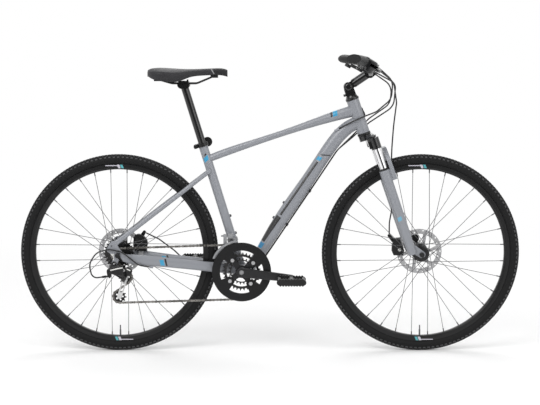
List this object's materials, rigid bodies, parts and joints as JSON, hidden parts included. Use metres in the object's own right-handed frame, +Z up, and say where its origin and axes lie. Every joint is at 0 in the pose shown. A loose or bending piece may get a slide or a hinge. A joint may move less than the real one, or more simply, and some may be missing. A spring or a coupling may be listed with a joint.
{
  "type": "hybrid bicycle",
  "caption": "Hybrid bicycle with suspension fork, disc brakes, derailleur gears, adjustable stem and palm grips; it steers, rolls, pedals, shifts and brakes.",
  "frame": {"origin": "on the ground midway between the axles, in the middle plane of the bicycle", "axes": "+X forward, +Y to the rider's left, +Z up; the drive side is -Y"},
  "size_m": [1.7669, 0.6516, 1.05],
  "materials": {
    "frame_paint": "satin light grey paint with small blue and black blocks",
    "black_alloy": "satin black",
    "silver_alloy": "satin",
    "bare_steel": "brushed",
    "stainless_wire": "polished",
    "chain_steel": "oiled",
    "chromed_tube": "polished",
    "tyre_rubber": "matt",
    "grip_rubber": "matt",
    "black_plastic": "fine grain",
    "saddle_skin": "sewn black cover",
    "cable_housing": "smooth"
  },
  "bodies": {
    "frame": {"frame": "frame_paint", "headset_cups": "black_alloy", "bottom_bracket": "bare_steel", "seat_clamp": "black_alloy", "frame_fittings": "bare_steel", "rear_axle": "silver_alloy", "rear_brake_caliper": "black_alloy", "control_cables": "cable_housing", "front_derailleur_body": "black_alloy", "derailleur_b_knuckle": "black_alloy", "chain": "chain_steel"},
    "steering": {"fork_crown": "black_alloy", "stanchions": "chromed_tube", "stem_base": "black_alloy"},
    "stem": {"stem_arm": "black_alloy", "handlebar": "black_alloy", "grips": "grip_rubber", "control_pods": "black_plastic"},
    "left_brake_lever": {"left_brake_lever": "silver_alloy"},
    "right_brake_lever": {"right_brake_lever": "silver_alloy"},
    "left_thumb_lever": {"left_thumb_lever": "black_plastic"},
    "right_thumb_lever": {"right_thumb_lever": "black_plastic"},
    "fork_lower": {"fork_lowers": "frame_paint", "fork_seals": "grip_rubber", "front_brake_caliper": "black_alloy", "front_axle": "silver_alloy", "front_brake_cable": "cable_housing"},
    "front_caliper_arm": {"front_caliper_arm": "silver_alloy"},
    "rear_caliper_arm": {"rear_caliper_arm": "silver_alloy"},
    "front_qr_lever": {"front_qr_lever": "silver_alloy"},
    "rear_qr_lever": {"rear_qr_lever": "silver_alloy"},
    "seat_qr_lever": {"seat_qr_lever": "silver_alloy"},
    "front_wheel": {"front_tyre": "tyre_rubber", "front_rim": "black_alloy", "front_spokes": "stainless_wire", "front_hub": "black_alloy", "front_rotor": "bare_steel"},
    "rear_wheel": {"rear_tyre": "tyre_rubber", "rear_rim": "black_alloy", "rear_spokes": "stainless_wire", "rear_hub": "black_alloy", "rear_rotor": "bare_steel"},
    "cassette": {"cassette": "bare_steel"},
    "crankset": {"crank_right": "black_alloy", "crank_left": "black_alloy", "crank_spindle": "bare_steel", "chainrings": "bare_steel", "chain_guard": "black_plastic"},
    "right_pedal": {"right_pedal": "black_plastic"},
    "left_pedal": {"left_pedal": "black_plastic"},
    "derailleur_outer_link": {"derailleur_outer_link": "black_alloy"},
    "derailleur_inner_link": {"derailleur_inner_link": "black_alloy"},
    "derailleur_p_knuckle": {"derailleur_p_knuckle": "black_alloy"},
    "derailleur_cage": {"derailleur_cage": "silver_alloy"},
    "guide_pulley": {"guide_pulley": "black_plastic"},
    "tension_pulley": {"tension_pulley": "black_plastic"},
    "front_derailleur_cage": {"front_derailleur_cage": "bare_steel"},
    "seatpost": {"seatpost": "black_alloy", "saddle_base": "black_plastic", "saddle_cover": "saddle_skin"}
  },
  "joints": [
    {"name": "steering", "type": "hinge", "parent": "frame", "child": "steering", "pos_m": [0.32991, 0, 0.77539], "axis": [-0.3256, 0, 0.9455], "range_deg": [-60, 60], "deforming": ["control_cables"]},
    {"name": "stem_tilt", "type": "hinge", "parent": "steering", "child": "stem", "pos_m": [0.27457, 0, 0.93613], "axis": [0, -1, 0], "range_deg": [-18, 45], "deforming": ["control_cables", "front_brake_cable"]},
    {"name": "left_brake", "type": "hinge", "parent": "stem", "child": "left_brake_lever", "pos_m": [0.35511, 0.15462, 1.00874], "axis": [0.5129, 0.085, 0.8542], "range_deg": [0, 20], "stiffness_Nm_per_rad": 1.2, "springref_deg": -17.19},
    {"name": "right_brake", "type": "hinge", "parent": "stem", "child": "right_brake_lever", "pos_m": [0.35511, -0.15462, 1.00874], "axis": [-0.5129, 0.085, -0.8542], "range_deg": [0, 20], "stiffness_Nm_per_rad": 1.2, "springref_deg": -17.19},
    {"name": "left_shift", "type": "hinge", "parent": "stem", "child": "left_thumb_lever", "pos_m": [0.32589, 0.1522, 0.99023], "axis": [-0.5129, -0.085, -0.8542], "range_deg": [0, 20], "stiffness_Nm_per_rad": 0.5, "springref_deg": -17.19},
    {"name": "right_shift", "type": "hinge", "parent": "stem", "child": "right_thumb_lever", "pos_m": [0.32589, -0.1522, 0.99023], "axis": [0.5129, -0.085, 0.8542], "range_deg": [0, 20], "stiffness_Nm_per_rad": 0.5, "springref_deg": -17.19},
    {"name": "fork_travel", "type": "slide", "parent": "steering", "child": "fork_lower", "axis": [-0.3256, 0, 0.9455], "range_m": [0, 0.063], "stiffness_N_per_m": 6000, "springref_m": -0.02, "deforming": ["front_brake_cable"]},
    {"name": "front_brake_arm", "type": "hinge", "parent": "fork_lower", "child": "front_caliper_arm", "pos_m": [0.4625, 0.0588, 0.362], "axis": [0, 1, 0], "range_deg": [0, 20], "deforming": ["front_brake_cable"]},
    {"name": "rear_brake_arm", "type": "hinge", "parent": "frame", "child": "rear_caliper_arm", "pos_m": [-0.4715, 0.0708, 0.383], "axis": [0, 1, 0], "range_deg": [0, 20], "deforming": ["control_cables"]},
    {"name": "front_quick_release", "type": "hinge", "parent": "fork_lower", "child": "front_qr_lever", "pos_m": [0.5335, 0.066, 0.35], "axis": [0, 1, 0], "range_deg": [0, 120]},
    {"name": "rear_quick_release", "type": "hinge", "parent": "frame", "child": "rear_qr_lever", "pos_m": [-0.5335, 0.084, 0.35], "axis": [0, 1, 0], "range_deg": [0, 150]},
    {"name": "seat_quick_release", "type": "hinge", "parent": "frame", "child": "seat_qr_lever", "pos_m": [-0.26189, 0.026, 0.72554], "axis": [0, 1, 0], "range_deg": [0, 180]},
    {"name": "front_wheel_spin", "type": "hinge", "parent": "fork_lower", "child": "front_wheel", "pos_m": [0.5335, 0, 0.35], "axis": [0, 1, 0], "continuous": true},
    {"name": "rear_wheel_spin", "type": "hinge", "parent": "frame", "child": "rear_wheel", "pos_m": [-0.5335, 0, 0.35], "axis": [0, 1, 0], "continuous": true},
    {"name": "crank_spin", "type": "hinge", "parent": "frame", "child": "crankset", "pos_m": [-0.0997, 0, 0.2895], "axis": [0, 1, 0], "continuous": true, "deforming": ["chain"]},
    {"name": "cassette_spin", "type": "hinge", "parent": "frame", "child": "cassette", "pos_m": [-0.5335, -0.05, 0.35], "axis": [0, 1, 0], "continuous": true},
    {"name": "right_pedal_spin", "type": "hinge", "parent": "crankset", "child": "right_pedal", "pos_m": [0.07407, -0.137, 0.26878], "axis": [0, 1, 0], "continuous": true},
    {"name": "left_pedal_spin", "type": "hinge", "parent": "crankset", "child": "left_pedal", "pos_m": [-0.27347, 0.137, 0.31022], "axis": [0, 1, 0], "continuous": true},
    {"name": "derailleur_outer_swing", "type": "hinge", "parent": "frame", "child": "derailleur_outer_link", "pos_m": [-0.55478, -0.09358, 0.30765], "axis": [0.3909, 0.5647, 0.7268], "range_deg": [0, 46.4], "stiffness_Nm_per_rad": 1.5, "springref_deg": -22.92, "deforming": ["chain", "control_cables"]},
    {"name": "derailleur_inner_swing", "type": "hinge", "parent": "frame", "child": "derailleur_inner_link", "pos_m": [-0.56022, -0.08042, 0.30035], "axis": [0.3909, 0.5647, 0.7268], "range_deg": [0, 46.4]},
    {"name": "derailleur_lower_swing", "type": "hinge", "parent": "derailleur_outer_link", "child": "derailleur_p_knuckle", "pos_m": [-0.50478, -0.08958, 0.27765], "axis": [0.3909, 0.5647, 0.7268], "range_deg": [-46.4, 0]},
    {"name": "derailleur_cage_swing", "type": "hinge", "parent": "derailleur_p_knuckle", "child": "derailleur_cage", "pos_m": [-0.4955, -0.086, 0.286], "axis": [0, 1, 0], "range_deg": [-8, 30], "stiffness_Nm_per_rad": 1.5, "deforming": ["chain"]},
    {"name": "guide_pulley_spin", "type": "hinge", "parent": "derailleur_cage", "child": "guide_pulley", "pos_m": [-0.50774, -0.086, 0.27093], "axis": [0, 1, 0], "continuous": true},
    {"name": "tension_pulley_spin", "type": "hinge", "parent": "derailleur_cage", "child": "tension_pulley", "pos_m": [-0.5294, -0.086, 0.20226], "axis": [0, 1, 0], "continuous": true},
    {"name": "front_derailleur_swing", "type": "hinge", "parent": "frame", "child": "front_derailleur_cage", "pos_m": [-0.1497, -0.05, 0.4155], "axis": [1, 0, 0], "range_deg": [0, 8], "stiffness_Nm_per_rad": 1.5, "springref_deg": -17.19, "deforming": ["chain", "control_cables"]},
    {"name": "seatpost_slide", "type": "slide", "parent": "frame", "child": "seatpost", "axis": [-0.2957, 0, 0.9553], "range_m": [-0.065, 0.08]}
  ],
  "couplings": [
    {"joint": "front_brake_arm", "follows": "left_brake", "ratio": 1},
    {"joint": "rear_brake_arm", "follows": "right_brake", "ratio": 1},
    {"joint": "cassette_spin", "follows": "crank_spin", "ratio": 4.3636},
    {"joint": "guide_pulley_spin", "follows": "crank_spin", "ratio": -4.3636},
    {"joint": "tension_pulley_spin", "follows": "crank_spin", "ratio": 4.3636},
    {"joint": "derailleur_inner_swing", "follows": "derailleur_outer_swing", "ratio": 1},
    {"joint": "derailleur_lower_swing", "follows": "derailleur_outer_swing", "ratio": -1}
  ]
}
